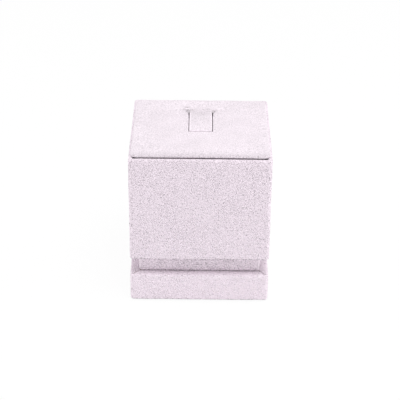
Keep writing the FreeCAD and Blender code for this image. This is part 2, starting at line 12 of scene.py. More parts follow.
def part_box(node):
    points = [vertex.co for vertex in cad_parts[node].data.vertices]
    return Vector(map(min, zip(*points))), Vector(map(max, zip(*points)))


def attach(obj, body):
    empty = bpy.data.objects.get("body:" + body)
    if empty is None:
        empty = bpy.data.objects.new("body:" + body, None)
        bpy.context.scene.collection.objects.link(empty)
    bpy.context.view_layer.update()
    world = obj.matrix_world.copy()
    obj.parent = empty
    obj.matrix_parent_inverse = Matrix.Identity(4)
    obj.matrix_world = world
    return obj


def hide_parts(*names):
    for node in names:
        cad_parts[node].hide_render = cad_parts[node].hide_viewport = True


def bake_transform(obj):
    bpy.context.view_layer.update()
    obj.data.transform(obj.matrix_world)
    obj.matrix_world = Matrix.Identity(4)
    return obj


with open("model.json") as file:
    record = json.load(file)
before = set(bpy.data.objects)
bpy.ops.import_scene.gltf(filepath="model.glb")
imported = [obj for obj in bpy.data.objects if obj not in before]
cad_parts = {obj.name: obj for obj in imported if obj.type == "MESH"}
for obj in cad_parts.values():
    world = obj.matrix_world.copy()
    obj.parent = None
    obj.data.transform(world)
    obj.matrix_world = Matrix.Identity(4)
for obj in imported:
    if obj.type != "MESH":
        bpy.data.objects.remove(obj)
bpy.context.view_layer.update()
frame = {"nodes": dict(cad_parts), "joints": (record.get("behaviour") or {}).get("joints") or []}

bl_info = {
    "name": "Ring display box",
    "version": (1, 0, 0),
    "blender": (4, 5, 0),
    "location": "3D View > Sidebar > Ring box",
    "description": "Fabric covers, padded insert, ring flap and studio stage of a ring display box",
    "category": "Object",
}

MM = 0.001
# two places closer than this count as one
NEAR = 0.002 * MM
X, Y, Z = range(3)
UP = Vector((0, 0, 1))
SCREEN_WHITE = 255
WHITE = (1.0, 1.0, 1.0, 1.0)
CORNER_SEGMENTS = 6
EDGE_SEGMENTS = 4
SLIT_SEGMENTS = 3
ROUND_PROFILE_SHARE = 0.5
SHARP_ANGLE = math.radians(38)
FLAP_HINGE = Vector(next(j for j in frame["joints"] if j["name"] == "flap_hinge")["pos_m"])
# attribute of the mesh that holds painted shade and painted highlight: above nothing it darkens the nap's
# tone, below nothing it lightens it
PAINTED_SHADING = "pressed"
# shares of the tone's range at which the fabric's colours stand, from its darkest specks and painted
# crease shade to its tips
TONE_SHARES = (0.0, 0.2, 0.48, 0.8)
# fibres lie along the fabric and lean down it
FIBRE_STRETCH = (1.0, 0.3, 0.45)
GRAIN_ROUGHNESS = 0.6
# share of a lower edge's height along which painted shade darkens the nap
FOOT_SHARE = 0.8
# share of the liner's thickness by which its lower edge is rounded
LINER_EDGE_SHARE = 1 / 3
# where the pad is drawn in by more than this share, its fabric is glued
GLUED_SHARE = 0.5
# how far past the flap's root an edge can lie and still belong to the window
WINDOW_MARGIN = 1.0 * MM
INSERT_MESH = "insert_fabric"


# Settings

def length(label, text, millimetres):
    """A setting that is a length; its default is given in millimetres."""
    return FloatProperty(
        name=label, description=text, default=millimetres * MM, subtype="DISTANCE", unit="LENGTH",
        precision=5,
    )


def angle(label, text, degrees):
    """A setting that is an angle; its default is given in degrees."""
    return FloatProperty(
        name=label, description=text, default=math.radians(degrees), subtype="ANGLE", unit="ROTATION",
    )


def share(label, text, value):
    """A setting between nothing and all."""
    return FloatProperty(
        name=label, description=text, default=value, min=0.0, max=1.0, subtype="FACTOR",
    )


def number(label, text, value):
    """A setting that is a plain number."""
    return FloatProperty(name=label, description=text, default=value)


def point(label, text, millimetres):
    """A setting that is a place; its default is given in millimetres."""
    return FloatVectorProperty(
        name=label, description=text, default=[value * MM for value in millimetres], unit="LENGTH",
        subtype="TRANSLATION",
    )


def linear(levels):
    """The linear colour of screen levels from 0 to 255."""
    return Color([level / SCREEN_WHITE for level in levels]).from_srgb_to_scene_linear()


def colour(label, text, levels):
    """A setting that is a colour; its default is given in screen levels from 0 to 255."""
    return FloatVectorProperty(
        name=label, description=text, default=linear(levels)[:], min=0.0, max=1.0, subtype="COLOR",
    )


class FabricSettings(bpy.types.PropertyGroup):
    """Colour and nap of the fabric on every outer side."""

    colour: colour("Fabric colour", "Colour of the nap", (251, 237, 248))
    # the darkest specks, and painted shade in the creases of the folds and along the neck's foot
    deep: colour("Crease shade", "Colour in creases and where glue darkens the fibres", (146, 137, 144))
    shade: colour("Nap shade", "Colour down between the fibres", (208, 196, 205))
    light: colour("Nap tips", "Colour of the brushed fibre tips", (255, 242, 252))
    nap_size: length("Nap size", "Size of the tufts of the nap", 0.5)
    speck_size: length("Speck size", "Size of the small dark specks between fibres", 0.42)
    fibre_size: length("Fibre size", "Thickness of the single fibres", 0.1)
    cloud_size: length("Brushing size", "Size of the patches where the nap lies another way", 12.0)
    nap_height: length("Nap height", "Height of the nap's relief", 0.7)
    relief: share("Relief", "Strength of the nap's relief", 1.0)
    nap_weight: number("Nap weight", "How much the tufts change the colour", 0.4)
    speck_weight: number("Speck weight", "How much the specks change the colour", 1.4)
    fibre_weight: number("Fibre weight", "How much the single fibres change the colour", 0.6)
    cloud_weight: number("Brushing weight", "How much the brushed patches change the colour", 0.15)
    tone: share("Tone", "Middle tone of the fabric, from its shade to its tips", 0.57)
    # the pad's tone evens out its mean colour with the more speckled sides, and is also lowered as
    # painted shade against the strong light on the top
    pad_tone: share("Pad tone", "Middle tone of the fabric on the pad", 0.355)
    # painted light: the pad's fabric is greyed towards the paler look of its brightly lit top
    pad_fade: share("Pad fade", "How much of its hue the fabric loses on the pad", 0.24)
    # painted shade and highlight: how far the mesh's attribute moves the nap's tone towards its darkest
    # colour, or towards its tips where it is below nothing
    pressed: share("Pressed nap", "How much darker the nap is where it is pressed", 0.2)
    # painted light: the pad's nap is weakened towards the flatter look of its brightly lit top
    pad_nap: share("Pad nap", "Strength of the nap on the pad, where stretching lays it flat", 0.3)
    roughness: share("Roughness", "Roughness of the nap where it is lowest", 0.82)
    specular: share("Reflection", "Strength of the plain reflection", 0.2)
    sheen: share("Sheen", "Strength of the fibre sheen", 0.2)
    sheen_spread: share("Sheen spread", "How wide the fibre sheen spreads", 0.6)


class CoverSettings(bpy.types.PropertyGroup):
    """Sizes of the covers, and the painted shade and highlight on their nap; values below nothing paint
    highlight.
    """

    thickness: length("Thickness", "Thickness of the fabric", 0.35)
    corner_radius: length("Corner radius", "Radius of the upright corners", 1.5)
    neck_radius: length("Neck radius", "Radius of the neck's upright corners", 1.0)
    edge_radius: length("Edge radius", "Radius of the level edges", 0.6)
    rim_width: length("Rim width", "Width of the covered rim round the insert", 1.6)
    rim_radius: length("Rim radius", "Radius of the rim's inner edge", 0.3)
    hem: length("Hem", "Width of fabric turned under or over", 8.0)
    pitch: length("Pitch", "Distance between the cover's mesh lines", 1.3)
    liner_pitch: length("Liner pitch", "Distance between the liner's mesh lines", 2.6)
    wave_height: length("Wave height", "Height of the unevenness of the stretched fabric", 0.1)
    wave_size: length("Wave size", "Size of that unevenness", 9.0)
    seam_width: length("Seam width", "Width of the butt seam at the rear", 0.36)
    seam_depth: length("Seam depth", "Depth of the butt seam at the rear", 0.26)
    mitre_gap: length("Mitre gap", "Gap between the fabric's edges at the corners", 0.36)
    foot_roll: length("Foot roll", "How far the neck's lower edge turns in", 0.3)
    foot_height: length("Foot height", "Height over which the neck's lower edge turns in", 0.55)
    # painted shade along the lower edges, whose rounding faces down to the floor
    rubbed: number("Rubbed edges", "How strongly the nap is pressed along the lower edges", 2.0)
    # painted shadow: the dark line where the neck stands on the plinth
    glued: number("Glued foot", "How strongly the nap is pressed at the neck's foot", 3.5)
    # painted highlight on the neck's rounded corners
    corner_nap: number("Corner nap", "How strongly the nap is pressed over the neck's corners", -1.5)
    # painted light: the plinth's nap is lightened all over, as by light thrown up from the floor
    plinth_nap: number("Plinth nap", "How strongly the nap is pressed on the plinth", -0.5)


class InsertSettings(bpy.types.PropertyGroup):
    """Sizes of the padded insert and the ring flap."""

    corner_radius: length("Corner radius", "Radius of the pad's corners", 2.4)
    edge_radius: length("Edge width", "Width of the pad's rounded upper edge", 1.2)
    edge_height: length("Edge height", "Height of the pad's rounded upper edge", 0.62)
    crown_height: length("Crown height", "Height of the pad's crown", 0.3)
    lip_side: length("Side lip", "How far the pad's edge spreads over the rim at its sides", 1.3)
    lip_front: length("Front lip", "How far the pad's edge spreads at the front and the rear", 0.2)
    lip_clear: length("Lip height", "Height of the pad's spread edge over the rim", 0.16)
    waist: length("Waist", "How far the fabric tucks in under the spread edge", 1.6)
    waist_depth: length("Waist depth", "How far under the rim the fabric tucks in furthest", 0.6)
    lip_depth: length("Lip depth", "How far under the rim the pad reaches its board's width", 2.0)
    pitch: length("Pitch", "Distance between the pad's mesh lines", 0.38)
    slit_width: length("Slit width", "Width of the slits beside the flap", 0.25)
    tip_gap: length("Tip gap", "Gap in front of the flap's free end", 0.68)
    slit_flare: length("Slit flare", "How far the slits open at the flap's root", 0.2)
    flare_length: length("Flare length", "Length over which the slits open", 3.5)
    dimple_depth: length("Dimple depth", "How far the pad is drawn in at the flap's root", 0.75)
    dimple_width: length("Dimple width", "Half width of the drawn-in place", 5.5)
    dimple_length: length("Dimple length", "Half length of the drawn-in place", 3.2)
    # painted shade in the drawn-in place at the flap's root
    root_press: share("Root press", "How strongly the nap is pressed at the flap's root", 0.5)
    # painted shade in the creases of the folds and painted highlight on their ridges; a fold this high
    # paints them fully
    crease: length("Crease", "Height of a fold that presses or opens its nap fully", 0.27)
    # painted highlight along the flap's edges
    edge_press: number("Edge press", "How strongly the nap is pressed along the flap's edges", -0.8)
    edge_reach: length("Edge reach", "How far that reaches from the edge", 0.45)
    # painted shade along the pad's front edge
    front_press: number("Front press", "How strongly the nap is pressed at the pad's front edge", 0.45)
    front_reach: length("Front reach", "How far that reaches from the edge", 2.2)
    swell: length("Swell", "Furthest that the fabric swells over the foam", 0.3)
    hem: length("Hem", "Width of fabric turned under the board", 6.0)
    undercut: length("Undercut", "How far the pad is cut away under the fabric at the flap's root", 0.8)
    undercut_depth: length("Undercut depth", "Depth at which it is cut away", 0.6)
    window_hem: length("Window hem", "Width of fabric turned out under the window", 2.5)
    window_radius: length("Window radius", "Radius of the edges beside the flap", 0.2)
    flap_thickness: length("Flap thickness", "Thickness of the covered flap", 1.9)
    root_thickness: length("Root thickness", "Thickness of the flap where it bends", 1.0)
    bend_length: length("Bend length", "Length over which the flap bends", 2.4)
    pressure: number("Foam pressure", "Pressure of the foam under the fabric", 3.0)
    steps: IntProperty(name="Steps", description="Steps of the fabric's simulation", default=20)
    quality: IntProperty(name="Quality", description="Solver steps in each of those steps", default=6)
    scale: number("Scale", "How much larger the fabric is while it is simulated", 20.0)


class StageSettings(bpy.types.PropertyGroup):
    """Camera, lamps and floor."""

    distance: length("Camera distance", "From the camera to the middle of the box", 486.0)
    aim: length("Aim height", "Height of the point that the camera looks at", 30.2)
    rise: angle("Camera rise", "How far the camera looks down", 29.15)
    roll: angle("Camera roll", "How far the camera is tipped sideways", 0.57)
    lens: number("Lens", "Focal length in millimetres", 113.1)
    lift: number("Frame lift", "How far the picture is moved up in the frame", 0.0042)
    surround: number("Surround", "Level of the light from all round", 0.652)
    overhead: number("Overhead lamp", "Power of the soft lamp above, in watts", 2.4)
    overhead_place: point("Overhead place", "Where the lamp above hangs", (150, -200, 750))
    sides: number("Side lamps", "Power of each soft lamp at the sides, in watts", 1.0)
    side_place: point("Side place", "Where the right lamp stands, mirrored on the left", (600, 50, 200))
    lamp_size: length("Lamp size", "Width of each lamp", 400.0)
    floor: colour("Floor colour", "Colour of the floor", (250, 250, 250))
    floor_reach: length("Floor reach", "How far the floor reaches to each side", 3000.0)
    white: share("Floor white", "How much of the floor the camera sees as plain white", 0.92)


SETTINGS = {
    "ring_box_fabric": FabricSettings,
    "ring_box_covers": CoverSettings,
    "ring_box_insert": InsertSettings,
    "ring_box_stage": StageSettings,
}


# Materials

def feed(tree, socket, value):
    """Links a socket to another one, or sets its value."""
    if isinstance(value, bpy.types.NodeSocket):
        tree.links.new(value, socket)
    else:
        socket.default_value = value


def node(tree, kind, inputs=None, **options):
    """A shader node with its options and inputs."""
    made = tree.nodes.new(kind)
    for name, value in options.items():
        setattr(made, name, value)
    for name, value in (inputs or {}).items():
        feed(tree, made.inputs[name], value)
    return made


def new_material(name):
    """An empty material, with its tree, its surface shader and its object coordinates."""
    material = bpy.data.materials.new(name)
    material.use_nodes = True
    tree = material.node_tree
    place = node(tree, "ShaderNodeTexCoord").outputs["Object"]
    return material, tree, tree.nodes["Principled BSDF"], place


def grain(tree, place, size, detail=2.0, stretch=(1.0, 1.0, 1.0)):
    """A noise pattern of about that grain size, which may be stretched along an axis."""
    if stretch != (1.0, 1.0, 1.0):
        place = node(tree, "ShaderNodeMapping", {"Vector": place, "Scale": stretch}).outputs[0]
    inputs = {"Vector": place, "Scale": 1 / size, "Detail": detail, "Roughness": GRAIN_ROUGHNESS}
    return node(tree, "ShaderNodeTexNoise", inputs).outputs["Fac"]


def weighted(tree, parts, middle=0.5):
    """The sum of several patterns, each times its weight, about a middle value."""
    total = middle - sum(weight for _, weight in parts) / 2
    for pattern, weight in parts:
        total = node(
            tree, "ShaderNodeMath", {0: pattern, 1: weight, 2: total}, operation="MULTIPLY_ADD"
        ).outputs[0]
    return total


def ramp(tree, factor, tones):
    """A colour from a pattern: each tone stands at a share of the pattern's range."""
    made = node(tree, "ShaderNodeValToRGB", {"Fac": factor})
    elements = made.color_ramp.elements
    while len(elements) < len(tones):
        elements.new(1.0)
    for element, (at_share, tone) in zip(elements, tones.items()):
        element.position = at_share
        element.color = (*tone, 1.0)
    return made.outputs["Color"]


def span(tree, factor, low, high):
    """A pattern brought into the range between two values."""
    return node(tree, "ShaderNodeMapRange", {"Value": factor, "To Min": low, "To Max": high}).outputs[0]


def relief(tree, shader, height, strength, distance):
    """Gives a shader the relief of a pattern."""
    bump = node(tree, "ShaderNodeBump", {"Height": height, "Strength": strength, "Distance": distance})
    feed(tree, shader.inputs["Normal"], bump.outputs["Normal"])


def faded(tone, fade):
    """A colour that has lost a share of its hue."""
    grey = sum(tone) / len(tone)
    return [level + (grey - level) * fade for level in tone]


def napped_fabric(name, middle, strength, fade=0.0):
    """A short-napped microfibre: tufts, specks between them and softly brushed patches."""
    look = bpy.context.scene.ring_box_fabric
    material, tree, shader, place = new_material(name)
    nap = grain(tree, place, look.nap_size, detail=0.0)
    specks = grain(tree, place, look.speck_size, detail=0.0)
    fibres = grain(tree, place, look.fibre_size, detail=1.0, stretch=FIBRE_STRETCH)
    brushing = grain(tree, place, look.cloud_size)
    weights = (
        look.nap_weight * strength, look.speck_weight * strength, look.fibre_weight * strength,
        look.cloud_weight,
    )
    # the mesh's attribute paints shade into the tone, and paints highlight where it is below nothing
    pressed = node(tree, "ShaderNodeAttribute", attribute_name=PAINTED_SHADING).outputs["Fac"]
    patterns = [*zip((nap, specks, fibres, brushing), weights), (pressed, -look.pressed)]
    tone = weighted(tree, patterns, middle - look.pressed / 2)
    colours = (look.deep, look.shade, look.colour, look.light)
    tones = {at_share: faded(hue, fade) for at_share, hue in zip(TONE_SHARES, colours)}
    feed(tree, shader.inputs["Base Color"], ramp(tree, tone, tones))
    feed(tree, shader.inputs["Roughness"], span(tree, nap, look.roughness, 1.0))
    shader.inputs["Specular IOR Level"].default_value = look.specular
    shader.inputs["Sheen Weight"].default_value = look.sheen
    shader.inputs["Sheen Roughness"].default_value = look.sheen_spread
    relief(tree, shader, nap, look.relief * strength, look.nap_height)
    return material


def suede():
    """The microfibre on the box, the neck and the plinth."""
    return napped_fabric("suede", bpy.context.scene.ring_box_fabric.tone, 1.0)


def pad_suede():
    """The microfibre on the pad and the flap: a copy of the fabric whose tone, nap and hue are set for
    how brightly the top is lit.
    """
    name = "pad_suede"
    look = bpy.context.scene.ring_box_fabric
    return bpy.data.materials.get(name) or napped_fabric(
        name, look.pad_tone, look.pad_nap, look.pad_fade
    )


Grain = namedtuple("Grain", "size weight detail stretch", defaults=(2.0, (1.0, 1.0, 1.0)))


def matted(name, grains, tones, roughness, strength, height, sheen=0.0, metallic=0.0):
    """A material whose grains give its tone and its relief; the first also gives its roughness."""
    material, tree, shader, place = new_material(name)
    patterns = [grain(tree, place, look.size, look.detail, look.stretch) for look in grains]
    tone = weighted(tree, list(zip(patterns, [look.weight for look in grains])))
    colours = {at_share: linear(levels) for at_share, levels in tones.items()}
    feed(tree, shader.inputs["Base Color"], ramp(tree, tone, colours))
    feed(tree, shader.inputs["Roughness"], span(tree, patterns[0], *roughness))
    shader.inputs["Sheen Weight"].default_value = sheen
    shader.inputs["Metallic"].default_value = metallic
    relief(tree, shader, tone, strength, height)
    return material


def fibreboard():
    """Sawn fibreboard: pressed brown fibres with a fine saw texture."""
    fibres = Grain(size=1.4 * MM, weight=0.9, detail=4.0, stretch=(1.0, 0.5, 2.0))
    dust = Grain(size=0.35 * MM, weight=0.5)
    browns = {0.2: (110, 93, 76), 0.5: (152, 133, 112), 0.8: (178, 160, 138)}
    return matted(
        "fibreboard", [fibres, dust], browns, roughness=(0.75, 0.95), strength=0.5, height=0.1 * MM
    )


def greyboard():
    """Pressed greyboard with flecks of recycled paper."""
    flecks = Grain(size=0.5 * MM, weight=0.7, detail=1.0, stretch=(1.0, 1.0, 0.4))
    pulp = Grain(size=2.2 * MM, weight=0.5, detail=5.0)
    greys = {0.18: (118, 113, 107), 0.5: (158, 153, 146), 0.85: (183, 179, 172)}
    return matted(
        "greyboard", [flecks, pulp], greys, roughness=(0.78, 0.95), strength=0.35, height=0.06 * MM
    )


def felt():
    """Thin felted sheet: matted fibres in a greyer tone of the cover."""
    matting = Grain(size=1.1 * MM, weight=0.7, detail=5.0)
    fibres = Grain(size=0.4 * MM, weight=0.6, stretch=(1.0, 0.3, 1.0))
    greys = {0.2: (172, 160, 168), 0.5: (201, 189, 198), 0.8: (219, 209, 216)}
    return matted(
        "felt", [matting, fibres], greys, roughness=(0.85, 1.0), strength=0.6, height=0.15 * MM,
        sheen=0.15,
    )


def zinc():
    """Bright zinc on the screws, with the fine marks of handling."""
    marks = Grain(size=0.6 * MM, weight=1.0, detail=4.0, stretch=(1.0, 1.0, 6.0))
    greys = {0.25: (168, 168, 168), 0.75: (204, 204, 204)}
    return matted(
        "zinc", [marks], greys, roughness=(0.28, 0.5), strength=0.15, height=0.02 * MM, metallic=1.0
    )


def open_foam():
    """Open-cell foam."""
    material, tree, shader, place = new_material("open_foam")
    cell_size = 0.6 * MM
    cell_depth = 0.2 * MM
    pattern = node(tree, "ShaderNodeTexVoronoi", {"Vector": place, "Scale": 1 / cell_size})
    cells = pattern.outputs["Distance"]
    creams = {0.1: linear((196, 192, 178)), 0.6: linear((246, 244, 234))}
    feed(tree, shader.inputs["Base Color"], ramp(tree, cells, creams))
    feed(tree, shader.inputs["Roughness"], span(tree, cells, low=0.85, high=1.0))
    relief(tree, shader, cells, strength=0.6, distance=cell_depth)
    return material


FINISHES = {
    "microfibre": suede,
    "board": fibreboard,
    "greyboard": greyboard,
    "foam": open_foam,
    "liner": felt,
    "steel": zinc,
}


def finish(slot):
    """The material of one of the record's slots, made on first use."""
    name = FINISHES[slot].__name__
    return bpy.data.materials.get(name) or FINISHES[slot]()


# Mesh tools

def block(low, high):
    """A box between two corners."""
    bm = bmesh.new()
    bmesh.ops.create_cube(bm, size=1.0)
    bmesh.ops.scale(bm, vec=high - low, verts=bm.verts)
    bmesh.ops.translate(bm, vec=(low + high) / 2, verts=bm.verts)
    return bm


def all_at(edge, axis, place):
    """Whether both ends of an edge lie at a place along an axis."""
    return all(abs(vert.co[axis] - place) < NEAR for vert in edge.verts)


def is_upright(edge):
    """Whether an edge runs straight up."""
    a, b = edge.verts
    return abs(a.co.z - b.co.z) > NEAR and (a.co - b.co).to_2d().length < NEAR


def round_edges(bm, edges, radius, segments):
    """Rounds some edges of a mesh."""
    bmesh.ops.bevel(
        bm, geom=edges, offset=radius, offset_type="OFFSET", affect="EDGES", segments=segments,
        profile=ROUND_PROFILE_SHARE, clamp_overlap=True, material=-1,
    )


def rounded_block(low, high, corner_radius, edge_radius=0.0, levels=()):
    """A box with rounded upright corners, and with rounded outlines at the levels given."""
    bm = block(low, high)
    round_edges(bm, [edge for edge in bm.edges if is_upright(edge)], corner_radius, CORNER_SEGMENTS)
    outlines = [edge for edge in bm.edges if any(all_at(edge, Z, level) for level in levels)]
    if outlines:
        round_edges(bm, outlines, edge_radius, EDGE_SEGMENTS)
    return bm


def cut(bm, faces, point, across):
    """Divides faces along a plane."""
    edges = dict.fromkeys(edge for face in faces for edge in face.edges)
    verts = dict.fromkeys(vert for face in faces for vert in face.verts)
    geometry = [*verts, *edges, *faces]
    bmesh.ops.bisect_plane(bm, geom=geometry, dist=NEAR, plane_co=point, plane_no=across)


def divide(bm, axis, marks, pitch):
    """Divides a mesh across an axis at the marks, and evenly between them about a pitch apart."""
    across = Vector((axis == X, axis == Y, axis == Z))
    places = [marks[-1]]
    for start, end in zip(marks, marks[1:]):
        count = max(1, round((end - start) / pitch))
        places += [start + (end - start) * step / count for step in range(count)]
    for place in places:
        cut(bm, bm.faces[:], across * place, across)


def remove_faces(bm, wanted):
    """Deletes the faces whose middle is wanted."""
    faces = [face for face in bm.faces if wanted(face.calc_center_median())]
    bmesh.ops.delete(bm, geom=faces, context="FACES")


def open_edges(bm, wanted):
    """The open edges whose middle is wanted."""
    return [
        edge for edge in bm.edges
        if edge.is_boundary and wanted((edge.verts[0].co + edge.verts[1].co) / 2)
    ]


def drawn_out(bm, edges):
    """Extrudes open edges in place, and returns the new vertices."""
    made = bmesh.ops.extrude_edge_only(bm, edges=edges)["geom"]
    return [item for item in made if isinstance(item, bmesh.types.BMVert)]


def open_rim(verts):
    """The open edges at some vertices."""
    return list(dict.fromkeys(edge for vert in verts for edge in vert.link_edges if edge.is_boundary))


def cut_line(bm, point, across, shifts, wanted):
    """Divides a part of a mesh along parallel lines, each shifted from a point."""
    for shift in shifts:
        faces = [face for face in bm.faces if wanted(face.calc_center_median())]
        cut(bm, faces, point + across * shift, across)


def inset(half, width):
    """The half sizes of a rectangle whose sides are moved in by a width."""
    return half - Vector((width, width, 0))


def narrowed(half, width):
    """The scale that moves the sides of a rectangle in by a width."""
    return Vector((1 - width / half.x, 1 - width / half.y, 1))


def rear_seam(bm, low, high, margin):
    """The butt seam in the middle of the rear, where the ends of the fabric meet."""
    look = bpy.context.scene.ring_box_covers
    across = Vector((1, 0, 0))

    def on_the_rear(place):
        return place.y > high.y - NEAR and low.z + margin - NEAR < place.z < high.z - margin + NEAR

    cut_line(bm, Vector(), across, (-look.seam_width / 2, 0.0, look.seam_width / 2), on_the_rear)
    for vert in bm.verts:
        if on_the_rear(vert.co) and abs(vert.co.x) < NEAR:
            vert.co.y -= look.seam_depth


def mitres(bm, high, level, start):
    """The mitres of fabric that is turned over at a level: its edges don't quite meet at the corners."""
    half_gap = bpy.context.scene.ring_box_covers.mitre_gap / 2
    for side_x in (-1, 1):
        for side_y in (-1, 1):
            across = Vector((side_y, -side_x, 0)).normalized()
            corner = Vector((side_x * high.x, side_y * high.y, level))

            def in_the_corner(place):
                inside = side_x * place.x > start.x - NEAR and side_y * place.y > start.y - NEAR
                return inside and abs(place.z - level) < NEAR

            cut_line(bm, corner, across, (-half_gap, half_gap), in_the_corner)
            remove_faces(bm, lambda p: in_the_corner(p) and abs((p - corner).dot(across)) < half_gap)


def ripple(bm, height, size):
    """The slight unevenness of fabric that is stretched over board."""
    bm.normal_update()
    for vert in bm.verts:
        vert.co += vert.normal * height * noise.noise(vert.co / size)


def mark_pressed(bm, pressed_at):
    """Stores the painted shade and painted highlight at each place, as an attribute of the mesh."""
    layer = bm.verts.layers.float.new(PAINTED_SHADING)
    for vert in bm.verts:
        vert[layer] = pressed_at(vert.co)


def new_object(name, data):
    """An object in the scene."""
    made = bpy.data.objects.new(name, data)
    bpy.context.scene.collection.objects.link(made)
    return made


def new_piece(name, bm, slot, material=None):
    """An object with a finished mesh and the finish of a slot, unless it has a material of its own."""
    bmesh.ops.recalc_face_normals(bm, faces=bm.faces)
    mesh = bpy.data.meshes.new(name)
    bm.to_mesh(mesh)
    bm.free()
    mesh.shade_smooth()
    mesh.set_sharp_from_angle(angle=SHARP_ANGLE)
    mesh.materials.append(material or finish(slot))
    made = new_object(name, mesh)
    return made


def thicken(piece, thickness):
    """Gives a fabric skin its thickness, inwards."""
    skin = piece.modifiers.new("thickness", "SOLIDIFY")
    skin.thickness = thickness
    skin.offset = -1.0
    skin.use_even_offset = True


# Covers

def hemmed(bm, low, high, look, top_opening):
    """Opens a covered block: the top to a given half width, the underside to its hems."""
    hem = inset(high, look.hem)
    remove_faces(bm, lambda p: abs(p.z - low.z) < NEAR and abs(p.x) < hem.x and abs(p.y) < hem.y)
    remove_faces(
        bm, lambda p: abs(p.z - high.z) < NEAR and abs(p.x) < top_opening.x and abs(p.y) < top_opening.y
    )


class RING_BOX_OT_box_cover(bpy.types.Operator):
    """Makes the fabric of the box, turned in over the rim and under the floor"""

    bl_idname = "ring_box.box_cover"
    bl_label = "Box cover"

    def execute(self, context):
        look = context.scene.ring_box_covers
        low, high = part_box("box_cover")
        mouth = inset(high, look.rim_width)
        bm = rounded_block(low, high, look.corner_radius, look.edge_radius, (low.z, high.z))
        for axis in (X, Y):
            inner = high[axis] - look.hem
            divide(bm, axis, [-mouth[axis], -inner, inner, mouth[axis]], look.pitch)
        divide(bm, Z, [low.z + look.corner_radius, high.z - look.corner_radius], look.pitch)
        hemmed(bm, low, high, look, mouth)
        rim = open_edges(bm, lambda p: abs(p.z - high.z) < NEAR)
        mouth_depth = high.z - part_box("insert_cover")[0].z
        bmesh.ops.translate(bm, vec=UP * -mouth_depth, verts=drawn_out(bm, rim))
        round_edges(bm, [edge for edge in rim if edge.is_valid], look.rim_radius, EDGE_SEGMENTS)
        rear_seam(bm, low, high, look.edge_radius)
        mitres(bm, high, low.z, inset(high, look.hem))
        # painted shade along the box's lower edge
        mark_pressed(bm, lambda p: look.rubbed * (p.z < low.z + look.edge_radius * FOOT_SHARE))
        ripple(bm, look.wave_height, look.wave_size)
        cover = new_piece("box_fabric", bm, "microfibre")
        thicken(cover, look.thickness)
        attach(cover, "box")
        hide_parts("box_cover")
        return {"FINISHED"}


class RING_BOX_OT_plinth_cover(bpy.types.Operator):
    """Makes the fabric of the plinth, mitred at the corners of its top"""

    bl_idname = "ring_box.plinth_cover"
    bl_label = "Plinth cover"

    def execute(self, context):
        look = context.scene.ring_box_covers
        low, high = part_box("plinth_cover")
        inner = inset(high, look.hem)
        hem_middle = inset(high, look.hem / 2)
        bm = rounded_block(low, high, look.corner_radius, look.edge_radius, (low.z, high.z))
        for axis in (X, Y):
            divide(bm, axis, [-hem_middle[axis], -inner[axis], inner[axis], hem_middle[axis]], look.pitch)
        divide(bm, Z, [low.z + look.corner_radius, high.z - look.corner_radius], look.pitch)
        hemmed(bm, low, high, look, inner)
        rear_seam(bm, low, high, look.edge_radius)
        for level in (low.z, high.z):
            mitres(bm, high, level, inner)
        # painted shade along the plinth's foot; above it the nap is lightened as painted light
        foot = low.z + look.edge_radius * FOOT_SHARE
        mark_pressed(bm, lambda p: look.rubbed if p.z < foot else look.plinth_nap)
        ripple(bm, look.wave_height, look.wave_size)
        cover = new_piece("plinth_fabric", bm, "microfibre")
        thicken(cover, look.thickness)
        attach(cover, "box")
        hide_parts("plinth_cover")
        return {"FINISHED"}


class RING_BOX_OT_neck_cover(bpy.types.Operator):
    """Makes the band of fabric round the neck"""

    bl_idname = "ring_box.neck_cover"
    bl_label = "Neck cover"

    def execute(self, context):
        look = context.scene.ring_box_covers
        low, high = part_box("neck_cover")
        bm = rounded_block(low, high, look.neck_radius)
        remove_faces(bm, lambda p: abs(p.z - low.z) < NEAR or abs(p.z - high.z) < NEAR)
        for axis in (X, Y):
            straight = high[axis] - look.neck_radius - look.pitch
            divide(bm, axis, [-straight, straight], look.pitch)
        divide(bm, Z, [low.z + look.foot_height, high.z - look.pitch], look.pitch)
        rear_seam(bm, low, high, 0.0)
        ripple(bm, look.wave_height, look.wave_size)

        foot_top = low.z + look.foot_height / 2
        corner = inset(high, look.neck_radius / 2)

        # painted shadow along the neck's foot, and painted highlight on its rounded corners
        def neck_nap(place):
            if place.z < foot_top:
                return look.glued
            return look.corner_nap * (abs(place.x) > corner.x and abs(place.y) > corner.y)

        mark_pressed(bm, neck_nap)
        foot = [vert for vert in bm.verts if vert.co.z < foot_top]
        bmesh.ops.scale(bm, vec=narrowed(high, look.foot_roll), verts=foot)
        cover = new_piece("neck_fabric", bm, "microfibre")
        thicken(cover, look.thickness)
        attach(cover, "box")
        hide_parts("neck_cover")
        return {"FINISHED"}


class RING_BOX_OT_base_liner(bpy.types.Operator):
    """Makes the felt liner under the plinth"""

    bl_idname = "ring_box.base_liner"
    bl_label = "Base liner"

    def execute(self, context):
        look = context.scene.ring_box_covers
        low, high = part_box("base_liner")
        edge_radius = (high.z - low.z) * LINER_EDGE_SHARE
        bm = rounded_block(low, high, look.corner_radius, edge_radius, (low.z,))
        for axis in (X, Y):
            straight = high[axis] - look.corner_radius - look.pitch
            divide(bm, axis, [-straight, straight], look.liner_pitch)
        liner = new_piece("base_felt", bm, "liner")
        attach(liner, "box")
        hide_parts("base_liner")
        return {"FINISHED"}


# Padded insert and ring flap

